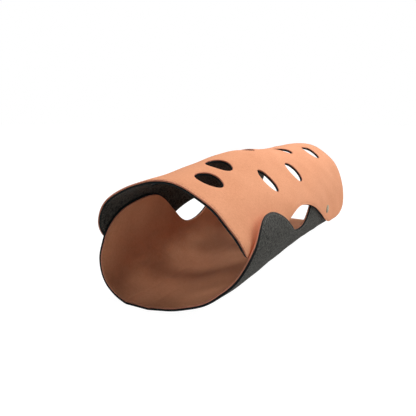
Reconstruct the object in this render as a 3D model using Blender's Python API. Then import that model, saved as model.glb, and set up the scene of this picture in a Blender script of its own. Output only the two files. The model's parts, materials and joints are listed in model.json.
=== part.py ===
# Cat tunnel made of two felt sheets, one cupped as the floor and one arched as the roof.
# Each sheet is an orange and a grey felt bonded back to back, with two lobes on either side.
# The lobes lap over and under those of the other sheet, and two press studs hold the rear ones.
# The tunnel runs along Y with its front mouth at -Y, and it stands on z = 0.
# A place on a sheet is given flat: how far it lies from the sheet's middle line, and how far along.

import math

import bmesh
import bpy
import numpy as np
from mathutils import Matrix, Vector

for old in list(bpy.data.objects):
    bpy.data.objects.remove(old, do_unlink=True)

# Tunnel sizes
MM = 0.001
TUNNEL_LENGTH = 640 * MM
REAR_WIDTH = 230 * MM
REAR_HEIGHT = 209 * MM
MOUTH_WIDTH = 240 * MM
MOUTH_HEIGHT = 191 * MM

# Felt
ORANGE_FELT = 1.8 * MM
GREY_FELT = 2.8 * MM
BOND_GAP = 0.3 * MM
LAP_GAP = 3.4 * MM
HINGE_GAP = 0.5 * MM
HINGE_RELIEF = 1.2 * MM
LOBE_TIP = 1.0 * MM

# Outlines of the two mouths, right-hand turn from the floor's middle, as shares of width and height
MOUTH_OUTLINE_SHARES = [
    (0.007, 0.017), (0.174, 0.066), (0.372, 0.196), (0.511, 0.388), (0.568, 0.547), (0.527, 0.680),
    (0.392, 0.832), (0.196, 0.968), (0.017, 1.002), (-0.160, 0.950), (-0.310, 0.850), (-0.412, 0.691),
    (-0.442, 0.477), (-0.457, 0.306), (-0.391, 0.110), (-0.229, -0.005), (-0.123, -0.011),
]
REAR_RIGHT_SHARES = [
    (0.175, 0.002), (0.331, 0.046), (0.464, 0.154), (0.500, 0.329), (0.477, 0.531),
    (0.407, 0.728), (0.289, 0.883), (0.141, 0.983),
]
REAR_OUTLINE_SHARES = (
    [(0.0, -0.004)] + REAR_RIGHT_SHARES + [(0.0, 1.0)] + [(-x, z) for x, z in reversed(REAR_RIGHT_SHARES)]
)
SWELL_SHARE = 1.6

# Places where the skin leaves the shape drawn between the mouths: the crest over the valleys,
# the low right side behind the front lobes, and the right side of the front mouth.
# Each has its place along, its reach along, its turn, its reach round, and the way it moves the skin
CREST_RISE = 13.2 * MM
SIDE_HOLLOW = 11.0 * MM
SIDE_LIFT = 8.25 * MM
MOUTH_BULGE = 2.0 * MM
BULGES = [
    (0.38, 0.34, 0.500, 0.130, 0.0, CREST_RISE),
    (0.556, 0.45, 0.094, 0.130, -SIDE_HOLLOW, SIDE_LIFT),
    (0.053, 0.22, 0.159, 0.110, MOUTH_BULGE, -MOUTH_BULGE),
]

# Sheet outlines, as distances from the middle line over the tunnel's girth, and along its length:
# the valley, the front lobe, the rear lobe, their two end corners, and the front lobe's widest place
VALLEY_ALONG_SHARE = 0.425
FLOOR_RIGHT_SHARES = (0.2240, 0.308, 0.350, 0.182, 0.235, 0.152)
FLOOR_LEFT_SHARES = (0.2170, 0.347, 0.350, 0.217, 0.235, 0.152)
FLOOR_REAR_CREST_SHARES = (0.77, 0.86)
ROOF_RIGHT_SHARES = (0.2165, 0.276, 0.340, 0.210, 0.295, 0.125)
ROOF_LEFT_SHARES = (0.2150, 0.287, 0.340, 0.195, 0.295, 0.180)
ROOF_REAR_CREST_SHARES = (0.90, 0.95)

# The lap changes over from one sheet outside to the other between these places
WEAVE_ALONG_SHARES = (0.30, 0.56)
LAP_RAMP_SHARE = 0.07

# How far the two free front lobes stand off
RIGHT_FLARE = 10.2 * MM
LEFT_FLARE = 1 * MM
FLARE_START_SHARE = 0.249

# Peep holes in the roof: distance from the crest, positive to the right, place along, width and length
PEEP_HOLE = 46 * MM
PEEP_HOLE_SHARES = [
    (0.063, 0.103, 1.00, 1.00), (0.032, 0.211, 1.00, 1.00), (0.123, 0.327, 1.08, 0.76),
    (0.126, 0.540, 1.04, 0.93), (-0.007, 0.447, 1.00, 1.00), (0.031, 0.682, 1.02, 1.00),
    (0.078, 0.862, 1.06, 1.08), (-0.082, 0.140, 1.00, 1.00), (-0.108, 0.330, 1.00, 0.90),
    (-0.098, 0.650, 1.00, 1.00), (-0.056, 0.790, 1.00, 1.00),
]
HOLE_SIDES = 16
SNAP_HOLE_SIDES = 12

# Press studs
SNAP_ALONG_SHARE = 0.730
RIGHT_SNAP_TURN_SHARE = 0.227
LEFT_SNAP_TURN_SHARE = 0.700
CAP_DIAMETER = 18 * MM
CAP_RISE = 2.0 * MM
CAP_RIM = 0.6 * MM
SHANK_DIAMETER = 3.4 * MM
SOCKET_HOLE = 11.8 * MM
SOCKET_DIAMETER = 11 * MM
SOCKET_ROOF = 0.6 * MM
SOCKET_BORE = 6.2 * MM
SHANK_HOLE = 4.2 * MM
STUD_FLANGE_DIAMETER = 10 * MM
STUD_FLANGE = 0.7 * MM
STUD_KNOB_DIAMETER = 5.4 * MM
STUD_KNOB_RISE = 2.6 * MM
POST_FLANGE_DIAMETER = 12 * MM
POST_FLANGE = 0.8 * MM
POST_SEAT_GAP = 0.8 * MM
SNAP_SIDES = 16
CAP_DOME_STEPS = 4
SNAP_CREASE_DEGREES = 40

# Seam thread
THREAD_DIAMETER = 0.4 * MM
THREAD_GAP = 0.7 * MM
INSIDE_THREAD_GAP = 1.5 * MM
SEAM_INSET = 5 * MM
SEAM_STEP = 12 * MM
SEAM_HINGE_CLEARANCE = 2.0 * MM

# Mesh
CORE_REACH_SHARE = 0.175
CORE_COLUMNS = 16
SIDE_COLUMNS = 6
LOBE_COLUMNS = 4
ROW_STEP = 34 * MM
FEWEST_ROWS = 10
CURVE_STEPS = 40
LOBE_SEARCH_STEPS = 2000
HINGE_SAMPLES = 40
SEAM_SAMPLES_PER_ROW = 4
SLOPE_STEP_SHARE = 0.002
SLAB = 10 * MM
WELD = 0.03 * MM

FELT_TOTAL = ORANGE_FELT + BOND_GAP + GREY_FELT
HALF_LAP = (FELT_TOTAL + LAP_GAP) / 2


def smooth(value):
    """Ease from 0 to 1 with level ends."""
    value = np.clip(value, 0.0, 1.0)
    return value * value * (3 - 2 * value)


def smooth_wave(value):
    """Half a cosine wave from 0 to 1."""
    return 0.5 - 0.5 * np.cos(math.pi * np.clip(value, 0.0, 1.0))


def round_corner(value):
    """Quarter of an ellipse from 0 to 1, steep at the start."""
    value = np.clip(value, 0.0, 1.0)
    return np.sqrt(1 - (1 - value) ** 2)


def closed_curve(shares, width, height):
    """Sample a smooth closed curve through the outline, with the length run at each sample."""
    points = np.array(shares) * (width, height)
    count = len(points)
    ring = np.eye(count)
    system = 4 * ring + np.roll(ring, 1, axis=1) + np.roll(ring, -1, axis=1)
    ahead, behind = np.roll(points, -1, axis=0), np.roll(points, 1, axis=0)
    slopes = np.linalg.solve(system, 3 * (ahead - behind))
    samples = []
    for index in range(count):
        following = (index + 1) % count
        for step in range(CURVE_STEPS):
            t = step / CURVE_STEPS
            samples.append(
                points[index] * (2 * t**3 - 3 * t**2 + 1)
                + slopes[index] * (t**3 - 2 * t**2 + t)
                + points[following] * (3 * t**2 - 2 * t**3)
                + slopes[following] * (t**3 - t**2)
            )
    samples = np.array(samples + [samples[0]])
    run = np.concatenate([[0.0], np.cumsum(np.hypot(*np.diff(samples, axis=0).T))])
    return samples, run


MOUTH_CURVE, MOUTH_RUN = closed_curve(MOUTH_OUTLINE_SHARES, MOUTH_WIDTH, MOUTH_HEIGHT)
REAR_CURVE, REAR_RUN = closed_curve(REAR_OUTLINE_SHARES, REAR_WIDTH, REAR_HEIGHT)
GIRTH = (MOUTH_RUN[-1] + REAR_RUN[-1]) / 2


def on_curve(curve, run, turn):
    """Read a mouth curve at a share of its girth."""
    place = np.mod(turn, 1.0) * run[-1]
    return np.stack([np.interp(place, run, curve[:, axis]) for axis in (0, 1)], axis=-1)


def tube(turn, along):
    """Place on the outside of the tunnel: turn goes right-handed round from the floor's middle."""
    turn, along = np.broadcast_arrays(np.asarray(turn, float), np.asarray(along, float))
    swell = 1 - np.abs(1 - np.clip(along, 0.0, 1.0)) ** SWELL_SHARE
    front = on_curve(MOUTH_CURVE, MOUTH_RUN, turn)
    rear = on_curve(REAR_CURVE, REAR_RUN, turn)
    section = front + (rear - front) * swell[..., None]
    for bulge_along, span, bulge_turn, turn_span, sideways, upward in BULGES:
        far = np.abs(np.mod(turn - bulge_turn + 0.5, 1.0) - 0.5)
        share = smooth_wave(1 - np.abs(along - bulge_along) / span) * smooth_wave(1 - far / turn_span)
        section = section + share[..., None] * (sideways, upward)
    height = np.maximum(section[..., 1], 0.0)
    return np.stack([section[..., 0], (along - 0.5) * TUNNEL_LENGTH, height], axis=-1)


def tube_normal(turn, along):
    """Direction straight out of the tunnel's skin."""
    turn, along = np.asarray(turn, float), np.asarray(along, float)
    around = tube(turn + SLOPE_STEP_SHARE, along) - tube(turn - SLOPE_STEP_SHARE, along)
    inner_along = np.clip(along, SLOPE_STEP_SHARE, 1 - SLOPE_STEP_SHARE)
    lengthwise = tube(turn, inner_along + SLOPE_STEP_SHARE) - tube(turn, inner_along - SLOPE_STEP_SHARE)
    out = np.cross(lengthwise, around)
    out[..., 1] = 0.0
    return out / np.linalg.norm(out, axis=-1, keepdims=True)


def weave(along):
    """Minus one at the front and plus one at the rear, for the roof's right side."""
    start, end = WEAVE_ALONG_SHARES
    return 2 * smooth((along - start) / (end - start)) - 1


class Sheet:
    """One felt sheet, with the outline that it is cut to and the way it bends."""

    def __init__(self, name, roof, right, left, rear_crest, layers):
        self.name = name
        self.roof = roof
        self.other = None
        self.sides = {1: right, -1: left}
        self.rear_crest = rear_crest
        self.layers = layers

    def valley(self, side):
        """Distance from the middle line to the bottom of one side's valley."""
        return self.sides[side][0]

    def span(self, along, side):
        """Distance from the middle line to one side's edge, before its corners are rounded."""
        valley, front, rear, _, _, front_crest = self.sides[side]
        fall = smooth_wave((along - front_crest) / (VALLEY_ALONG_SHARE - front_crest))
        rise = smooth_wave((along - VALLEY_ALONG_SHARE) / (self.rear_crest[0] - VALLEY_ALONG_SHARE))
        return front + (valley - front) * fall + (rear - valley) * rise

    def reach(self, along, side):
        """Distance from the middle line to one side's edge, as a share of the girth."""
        along = np.asarray(along, float)
        _, front, rear, front_corner, rear_corner, front_crest = self.sides[side]
        front_round = round_corner(along / front_crest)
        rear_round = round_corner((1 - along) / (1 - self.rear_crest[1]))
        edge = self.span(along, side) - (front - front_corner) * (1 - front_round)
        return edge - (rear - rear_corner) * (1 - rear_round)

    def turn(self, across):
        """Turn round the tunnel of a place across the sheet, positive to the right."""
        return 0.5 - across if self.roof else across

    def across(self, turn):
        """Place across the sheet of a turn round the tunnel."""
        across = 0.5 - turn if self.roof else turn
        return (across + 0.5) % 1.0 - 0.5

    def stand_off(self, across, along):
        """How far the sheet's outer face stands out from the tunnel's skin."""
        side = np.sign(across)
        distance = np.abs(across)
        other_span = np.where(side > 0, self.other.span(along, 1), self.other.span(along, -1))
        ramp = smooth((distance - (0.5 - other_span)) / LAP_RAMP_SHARE + 1)
        lap = HALF_LAP * weave(along) * side * ramp
        fade = 1 - smooth(along / VALLEY_ALONG_SHARE)
        front = np.where(side > 0, self.sides[1][1], self.sides[-1][1])
        lift = smooth((distance - FLARE_START_SHARE) / (front - FLARE_START_SHARE))
        if self.roof:
            return lap + LEFT_FLARE * fade * lift * (side < 0)
        return RIGHT_FLARE * fade * lift * (side > 0) - lap

    def bend(self, across, along, depth):
        """Place in space of a place in the flat sheet, depth below its outer face."""
        turn = self.turn(across)
        out = self.stand_off(across, along) - depth
        return tube(turn, along) + tube_normal(turn, along) * out[..., None]


FLOOR = Sheet(
    "floor", False, FLOOR_RIGHT_SHARES, FLOOR_LEFT_SHARES, FLOOR_REAR_CREST_SHARES,
    (("grey", GREY_FELT), ("orange", ORANGE_FELT)),
)
ROOF = Sheet(
    "roof", True, ROOF_RIGHT_SHARES, ROOF_LEFT_SHARES, ROOF_REAR_CREST_SHARES,
    (("orange", ORANGE_FELT), ("grey", GREY_FELT)),
)
FLOOR.other, ROOF.other = ROOF, FLOOR

# The outer lobe of each lap turns out on its own: sheet, side, true at the front, name, and the
# turn of the press stud that holds it down
LOBES = [
    (FLOOR, 1, True, "front_right_flap", None),
    (ROOF, -1, True, "front_left_flap", None),
    (ROOF, 1, False, "rear_right_tab", RIGHT_SNAP_TURN_SHARE),
    (FLOOR, -1, False, "rear_left_tab", LEFT_SNAP_TURN_SHARE),
]


def material(name, colour, roughness, metallic=0.0):
    """Plain finish of one sub-part."""
    made = bpy.data.materials.new(name)
    made.use_nodes = True
    shader = made.node_tree.nodes["Principled BSDF"]
    shader.inputs["Base Color"].default_value = (*colour, 1.0)
    shader.inputs["Roughness"].default_value = roughness
    shader.inputs["Metallic"].default_value = metallic
    return made


FINISHES = {
    "orange": ((0.80, 0.37, 0.20), 0.95, 0.0),
    "grey": ((0.06, 0.06, 0.056), 0.95, 0.0),
    "grey_thread": ((0.10, 0.10, 0.09), 0.8, 0.0),
    "orange_thread": ((0.70, 0.30, 0.15), 0.8, 0.0),
    "brass": ((0.42, 0.36, 0.24), 0.35, 1.0),
}


def add_object(name, mesh, finish):
    """Link a finished mesh as a named object with its own material."""
    mesh.materials.clear()
    colour, roughness, metallic = FINISHES[finish]
    mesh.materials.append(material(name + "_finish", colour, roughness, metallic))
    made = bpy.data.objects.new(name, mesh)
    bpy.context.scene.collection.objects.link(made)
    return made


def lobe_of(sheet, side, front):
    """True where this lobe of the sheet turns out on its own."""
    return any(lobe[:3] == (sheet, side, front) for lobe in LOBES)


def row_places(start, end):
    """Places along the tunnel, closer together at both ends, where the corners are round."""
    count = max(FEWEST_ROWS, round((end - start) * TUNNEL_LENGTH / ROW_STEP))
    steps = np.linspace(0.0, 1.0, count + 1)
    eased = 0.5 - 0.5 * np.cos(math.pi * steps)
    return start + (end - start) * (eased + steps) / 2


def main_columns(low, high):
    """Places across a main sheet: fixed lines in its core, and lines that follow the edge beside it."""
    left = np.linspace(low, -CORE_REACH_SHARE, SIDE_COLUMNS + 1)
    core = np.linspace(-CORE_REACH_SHARE, CORE_REACH_SHARE, CORE_COLUMNS + 1)
    right = np.linspace(CORE_REACH_SHARE, high, SIDE_COLUMNS + 1)
    return np.concatenate([left, core[1:-1], right])


def lobe_columns(low, high):
    """Places across a lobe, evenly spread."""
    return np.linspace(low, high, LOBE_COLUMNS + 1)


def strip_mesh(rows, low_edges, high_edges, columns):
    """Flat grid between two edges, in metres across and along."""
    bm = bmesh.new()
    lines = []
    for row, low, high in zip(rows, low_edges, high_edges):
        across = columns(low, high) * GIRTH
        lines.append([bm.verts.new((x, row * TUNNEL_LENGTH, 0.0)) for x in across])
    for near, far in zip(lines[:-1], lines[1:]):
        for column in range(len(near) - 1):
            bm.faces.new((near[column], near[column + 1], far[column + 1], far[column]))
    return bm


def punch(bm, holes):
    """Cut round holes in a flat sheet, each a place across and along, a width, a length and its sides."""
    slab_faces = bmesh.ops.extrude_face_region(bm, geom=bm.faces[:])["geom"]
    raised = [item for item in slab_faces if isinstance(item, bmesh.types.BMVert)]
    bmesh.ops.translate(bm, verts=raised, vec=(0.0, 0.0, SLAB))
    bmesh.ops.recalc_face_normals(bm, faces=bm.faces[:])
    slab_mesh = bpy.data.meshes.new("slab")
    bm.to_mesh(slab_mesh)
    bm.free()
    slab = bpy.data.objects.new("slab", slab_mesh)
    bpy.context.scene.collection.objects.link(slab)
    cutter_bm = bmesh.new()
    for across, along, width, length, sides in holes:
        place = Matrix.Translation((across * GIRTH, along * TUNNEL_LENGTH, SLAB / 2))
        stretch = Matrix.Diagonal((width / 2, length / 2, SLAB * 2, 1.0))
        bmesh.ops.create_cone(
            cutter_bm, cap_ends=True, segments=sides, radius1=1, radius2=1, depth=1, matrix=place @ stretch
        )
    cutter_mesh = bpy.data.meshes.new("punch")
    cutter_bm.to_mesh(cutter_mesh)
    cutter_bm.free()
    cutter = bpy.data.objects.new("punch", cutter_mesh)
    bpy.context.scene.collection.objects.link(cutter)
    cutter.hide_render = True
    cutter.display_type = "WIRE"
    cut = slab.modifiers.new("holes", "BOOLEAN")
    cut.operation = "DIFFERENCE"
    cut.object = cutter
    bpy.context.view_layer.update()
    evaluated = slab.evaluated_get(bpy.context.evaluated_depsgraph_get())
    flat = bmesh.new()
    flat.from_mesh(evaluated.to_mesh())
    evaluated.to_mesh_clear()
    off_floor = [face for face in flat.faces if max(vert.co.z for vert in face.verts) > SLAB / 2]
    bmesh.ops.delete(flat, geom=off_floor, context="FACES")
    for extra in (slab, cutter):
        bpy.data.objects.remove(extra, do_unlink=True)
    return flat


def felt_layer(name, sheet, flat, low_depth, high_depth, finish):
    """Give a flat sheet its thickness and bend it to its place."""
    bm = flat.copy()
    bmesh.ops.triangulate(bm, faces=bm.faces[:])
    grown = bmesh.ops.extrude_face_region(bm, geom=bm.faces[:])["geom"]
    inner = {item for item in grown if isinstance(item, bmesh.types.BMVert)}
    places = np.array([vert.co for vert in bm.verts])
    depth = np.array([high_depth if vert in inner else low_depth for vert in bm.verts])
    bent = sheet.bend(places[:, 0] / GIRTH, places[:, 1] / TUNNEL_LENGTH, depth)
    for vert, place in zip(bm.verts, bent):
        vert.co = place
    bmesh.ops.recalc_face_normals(bm, faces=bm.faces[:])
    if bm.calc_volume(signed=True) < 0:
        bmesh.ops.reverse_faces(bm, faces=bm.faces[:])
    mesh = bpy.data.meshes.new(name)
    bm.to_mesh(mesh)
    bm.free()
    return add_object(name, mesh, finish)


def layer_depths(sheet):
    """Outer and inner layer of a sheet: felt, and the depths of its two faces."""
    (outer, outer_felt), (inner, inner_felt) = sheet.layers
    second = outer_felt + BOND_GAP
    return [(outer, 0.0, outer_felt, HINGE_GAP), (inner, second, second + inner_felt, HINGE_RELIEF)]


def main_sheet(sheet, holes):
    """The sheet without the lobes that turn out."""
    rows = row_places(0.0, 1.0)
    for felt, low_depth, high_depth, gap in layer_depths(sheet):
        limits = []
        for side in (-1, 1):
            edge = sheet.reach(rows, side)
            for front in (True, False):
                if lobe_of(sheet, side, front):
                    held = np.minimum(edge, sheet.valley(side) - gap / 2 / GIRTH)
                    here = rows < VALLEY_ALONG_SHARE if front else rows >= VALLEY_ALONG_SHARE
                    edge = np.where(here, held, edge)
            limits.append(side * edge)
        flat = strip_mesh(rows, limits[0], limits[1], main_columns)
        flat = punch(flat, holes)
        felt_layer(f"{sheet.name}_sheet_{felt}_felt", sheet, flat, low_depth, high_depth, felt)
        flat.free()


def lobe_span(sheet, side, front):
    """Where a turning lobe starts and ends along the tunnel, at the width of its blunt tips."""
    ends = (0.0, VALLEY_ALONG_SHARE) if front else (VALLEY_ALONG_SHARE, 1.0)
    places = np.linspace(*ends, LOBE_SEARCH_STEPS)
    wide = places[sheet.reach(places, side) > sheet.valley(side) + (LOBE_TIP + HINGE_RELIEF) / GIRTH]
    return wide[0], wide[-1]


def lobe(sheet, side, front, name, holes):
    """One lobe that turns out, in both layers."""
    rows = row_places(*lobe_span(sheet, side, front))
    edge = side * sheet.reach(rows, side)
    layers = []
    for felt, low_depth, high_depth, gap in layer_depths(sheet):
        held = np.full_like(edge, side * (sheet.valley(side) + gap / 2 / GIRTH))
        low, high = (held, edge) if side > 0 else (edge, held)
        flat = strip_mesh(rows, low, high, lobe_columns)
        if holes:
            flat = punch(flat, holes)
        layers.append(felt_layer(f"{name}_{felt}_felt", sheet, flat, low_depth, high_depth, felt))
        flat.free()
    return layers


def hinge(sheet, side, front, name):
    """Empty on a lobe's hinge, a straight line along the valleys' bottoms at the outermost bulge there."""
    along = np.linspace(*lobe_span(sheet, side, front), HINGE_SAMPLES)
    across = np.full_like(along, side * sheet.valley(side))
    line = sheet.bend(across, along, np.zeros_like(along))
    lengthwise = Vector(line[-1] - line[0]).normalized()
    out = Vector(tube_normal(sheet.turn(across), along).mean(axis=0))
    out = (out - lengthwise * out.dot(lengthwise)).normalized()
    bulge = max((Vector(place) - Vector(line[0])).dot(out) for place in line)
    made = bpy.data.objects.new(name + "_hinge", None)
    bpy.context.scene.collection.objects.link(made)
    made.matrix_world = Matrix((out, lengthwise, out.cross(lengthwise))).transposed().to_4x4()
    made.location = Vector(line[0] + line[-1]) / 2 + out * bulge
    return made


def hang(pivot, pieces):
    """Carry pieces on an empty without moving them."""
    bpy.context.view_layer.update()
    for piece in pieces:
        piece.parent = pivot
        piece.matrix_parent_inverse = pivot.matrix_world.inverted()


def outline_loop(sheet):
    """The sheet's outline, flat, set in from the edge by the seam's inset."""
    along = row_places(0.0, 1.0)
    finer = np.linspace(0.0, 1.0, SEAM_SAMPLES_PER_ROW * len(along))
    along = np.interp(finer, np.linspace(0.0, 1.0, len(along)), along)
    right, left = (
        np.stack([side * sheet.reach(along, side) * GIRTH, along * TUNNEL_LENGTH], axis=-1) for side in (1, -1)
    )
    loop = np.concatenate([right, left[::-1], right[:1]])
    run = np.concatenate([[0.0], np.cumsum(np.hypot(*np.diff(loop, axis=0).T))])
    count = round(run[-1] / SEAM_STEP)
    places = np.linspace(0.0, run[-1], count, endpoint=False)
    even = np.stack([np.interp(places, run, loop[:, axis]) for axis in (0, 1)], axis=-1)
    ahead = np.roll(even, -1, axis=0) - np.roll(even, 1, axis=0)
    inward = np.stack([-ahead[:, 1], ahead[:, 0]], axis=-1)
    return even + SEAM_INSET * inward / np.linalg.norm(inward, axis=-1, keepdims=True)


def seam_owner(sheet, across, along):
    """Name of the piece that this place of the seam is sewn on, or nothing beside a hinge line."""
    beyond = abs(across) - sheet.valley(1 if across > 0 else -1) * GIRTH
    front = along < VALLEY_ALONG_SHARE * TUNNEL_LENGTH
    for lobe_sheet, side, lobe_front, name, _ in LOBES:
        if lobe_sheet is sheet and lobe_front == front and across * side > 0:
            if abs(beyond) < SEAM_HINGE_CLEARANCE:
                return None
            if beyond > 0:
                return name
    return sheet.name


def seam_runs(sheet):
    """Split the seam into the stretches on each lobe that turns out and those on the main sheet."""
    loop = outline_loop(sheet)
    owners = [seam_owner(sheet, across, along) for across, along in loop]
    start = next(index for index, owner in enumerate(owners) if owner != owners[index - 1])
    stretches = []
    for index in range(start, start + len(loop)):
        place = index % len(loop)
        if owners[place] != owners[place - 1]:
            stretches.append((owners[place], []))
        stretches[-1][1].append(loop[place] / (GIRTH, TUNNEL_LENGTH))
    runs = {}
    for owner, run in stretches:
        if owner == sheet.name:
            owner += "_front" if np.mean(run, axis=0)[1] < VALLEY_ALONG_SHARE else "_rear"
        if owner is not None:
            runs[owner] = run
    return runs


def seams(sheet):
    """Sew round a sheet near its edge: on its outer face, but inside where it stands on the ground."""
    sewn = {}
    radius = THREAD_DIAMETER / 2
    for owner, run in seam_runs(sheet).items():
        name = owner + "_seam_thread"
        inside = sheet is FLOOR and owner.startswith(FLOOR.name)
        depth = FELT_TOTAL + INSIDE_THREAD_GAP + radius if inside else -THREAD_GAP - radius
        finish = "orange_thread" if inside or sheet is ROOF else "grey_thread"
        curve = bpy.data.curves.new(name, "CURVE")
        curve.dimensions = "3D"
        curve.bevel_depth = THREAD_DIAMETER / 2
        curve.bevel_resolution = 0
        curve.use_fill_caps = True
        places = np.array(run)
        bent = sheet.bend(places[:, 0], places[:, 1], np.full(len(places), depth))
        spline = curve.splines.new("POLY")
        spline.points.add(len(bent) - 1)
        for point, place in zip(spline.points, bent):
            point.co = (*place, 1.0)
        made = bpy.data.objects.new(name, curve)
        curve.materials.append(material(name + "_finish", *FINISHES[finish]))
        bpy.context.scene.collection.objects.link(made)
        sewn[owner] = made
    return sewn


def turned(name, profile, frame, finish):
    """Spin a closed profile of radius and height about the stud's axis."""
    bm = bmesh.new()
    ring = [bm.verts.new((radius, 0.0, height)) for radius, height in profile]
    edges = [bm.edges.new((a, b)) for a, b in zip(ring, ring[1:])]
    if profile[0][0] > 0:
        edges.append(bm.edges.new((ring[-1], ring[0])))
    bmesh.ops.spin(
        bm, geom=ring + edges, cent=(0, 0, 0), axis=(0, 0, 1), dvec=(0, 0, 0), angle=math.tau,
        steps=SNAP_SIDES, use_merge=True, use_duplicate=False,
    )
    bmesh.ops.remove_doubles(bm, verts=bm.verts[:], dist=WELD)
    bmesh.ops.recalc_face_normals(bm, faces=bm.faces[:])
    mesh = bpy.data.meshes.new(name)
    bm.to_mesh(mesh)
    bm.free()
    mesh.shade_smooth()
    mesh.set_sharp_from_angle(angle=math.radians(SNAP_CREASE_DEGREES))
    made = add_object(name, mesh, finish)
    made.matrix_world = frame
    return made


def snap(name, turn, outer_sheet, inner_sheet):
    """Press stud of four pieces, square to the skin. Cap and socket are on the outer sheet's lobe."""
    along = SNAP_ALONG_SHARE
    normal = Vector(tube_normal(turn, along))
    base = Vector(tube(turn, along))
    lengthwise = Vector((0.0, 1.0, 0.0))
    around = lengthwise.cross(normal).normalized()
    frame = Matrix((around, normal.cross(around), normal)).transposed().to_4x4()
    frame.translation = base
    top = float(outer_sheet.stand_off(outer_sheet.across(turn), along))
    lap = top - FELT_TOTAL
    inner_top = float(inner_sheet.stand_off(inner_sheet.across(turn), along))
    under = inner_top - FELT_TOTAL
    shank = SHANK_DIAMETER / 2
    cap_radius = CAP_DIAMETER / 2
    rim = top + BOND_GAP
    socket_top = top - BOND_GAP
    shank_end = socket_top - SOCKET_ROOF
    cap_profile = [
        (0.0, shank_end), (shank, shank_end), (shank, rim), (cap_radius, rim), (cap_radius, rim + CAP_RIM),
    ]
    for step in range(1, CAP_DOME_STEPS):
        angle = math.pi / 2 * step / CAP_DOME_STEPS
        height = rim + CAP_RIM + (CAP_RISE - CAP_RIM) * math.sin(angle)
        cap_profile.append((cap_radius * math.cos(angle), height))
    cap_profile.append((0.0, rim + CAP_RISE))
    cap = turned(name + "_snap_cap", cap_profile, frame, "brass")
    bore, shank_bore = SOCKET_BORE / 2, shank + BOND_GAP
    socket_profile = [
        (shank_bore, socket_top), (SOCKET_DIAMETER / 2, socket_top), (SOCKET_DIAMETER / 2, lap),
        (bore, lap), (bore, socket_top - SOCKET_ROOF), (shank_bore, socket_top - SOCKET_ROOF),
    ]
    socket = turned(name + "_snap_socket", socket_profile, frame, "brass")
    flange_low = inner_top + BOND_GAP
    flange_top = flange_low + STUD_FLANGE
    knob_top = flange_top + BOND_GAP + STUD_KNOB_RISE
    stud_profile = [
        (shank_bore, flange_low), (STUD_FLANGE_DIAMETER / 2, flange_low),
        (STUD_FLANGE_DIAMETER / 2, flange_top), (STUD_KNOB_DIAMETER / 2, flange_top),
        (STUD_KNOB_DIAMETER / 2, knob_top), (shank_bore, knob_top),
    ]
    turned(name + "_snap_stud", stud_profile, frame, "brass")
    post_face = under - POST_SEAT_GAP
    post_profile = [
        (0.0, post_face - POST_FLANGE), (POST_FLANGE_DIAMETER / 2, post_face - POST_FLANGE),
        (POST_FLANGE_DIAMETER / 2, post_face), (shank, post_face), (shank, knob_top - BOND_GAP),
        (0.0, knob_top - BOND_GAP),
    ]
    turned(name + "_snap_post", post_profile, frame, "brass")
    return [cap, socket]


def snap_hole(turn, sheet, diameter):
    """A hole for a press stud, in the sheet's own flat places."""
    return (sheet.across(turn), SNAP_ALONG_SHARE, diameter, diameter, SNAP_HOLE_SIDES)


def centre_sideways():
    """Slide the whole tunnel across until its box is centred on the origin."""
    bpy.context.view_layer.update()
    solids = [made for made in bpy.data.objects if made.type == "MESH"]
    across = [(made.matrix_world @ vert.co).x for made in solids for vert in made.data.vertices]
    for made in bpy.data.objects:
        if made.parent is None:
            made.location.x -= (min(across) + max(across)) / 2


peep_holes = [
    (across, along, PEEP_HOLE * width, PEEP_HOLE * length, HOLE_SIDES)
    for across, along, width, length in PEEP_HOLE_SHARES
]
main_sheet(FLOOR, [snap_hole(RIGHT_SNAP_TURN_SHARE, FLOOR, SHANK_HOLE)])
main_sheet(ROOF, peep_holes + [snap_hole(LEFT_SNAP_TURN_SHARE, ROOF, SHANK_HOLE)])
seam_threads = {**seams(FLOOR), **seams(ROOF)}
for sheet, side, front, name, snap_turn in LOBES:
    if snap_turn is None:
        pieces = lobe(sheet, side, front, name, [])
    else:
        pieces = lobe(sheet, side, front, name, [snap_hole(snap_turn, sheet, SOCKET_HOLE)])
        pieces += snap(name.removesuffix("_tab"), snap_turn, sheet, ROOF if sheet is FLOOR else FLOOR)
    hang(hinge(sheet, side, front, name), pieces + [seam_threads[name]])
centre_sideways()
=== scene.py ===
# %% [markdown]
# # A felt cat tunnel
#
# The tunnel is two sheets of felt. One is cupped as the floor, the other is arched over it as the
# roof, and each is an orange and a dark grey felt bonded back to back. The lobes on their sides
# lap over and under each other, and a press stud on either side holds the rear pair.
# The packed model gives every piece its place, and this script gives each one its looks.

# %% Load the frame
import json
import math

import bmesh
import bpy
import numpy as np
from mathutils import Matrix, Vector


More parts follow.
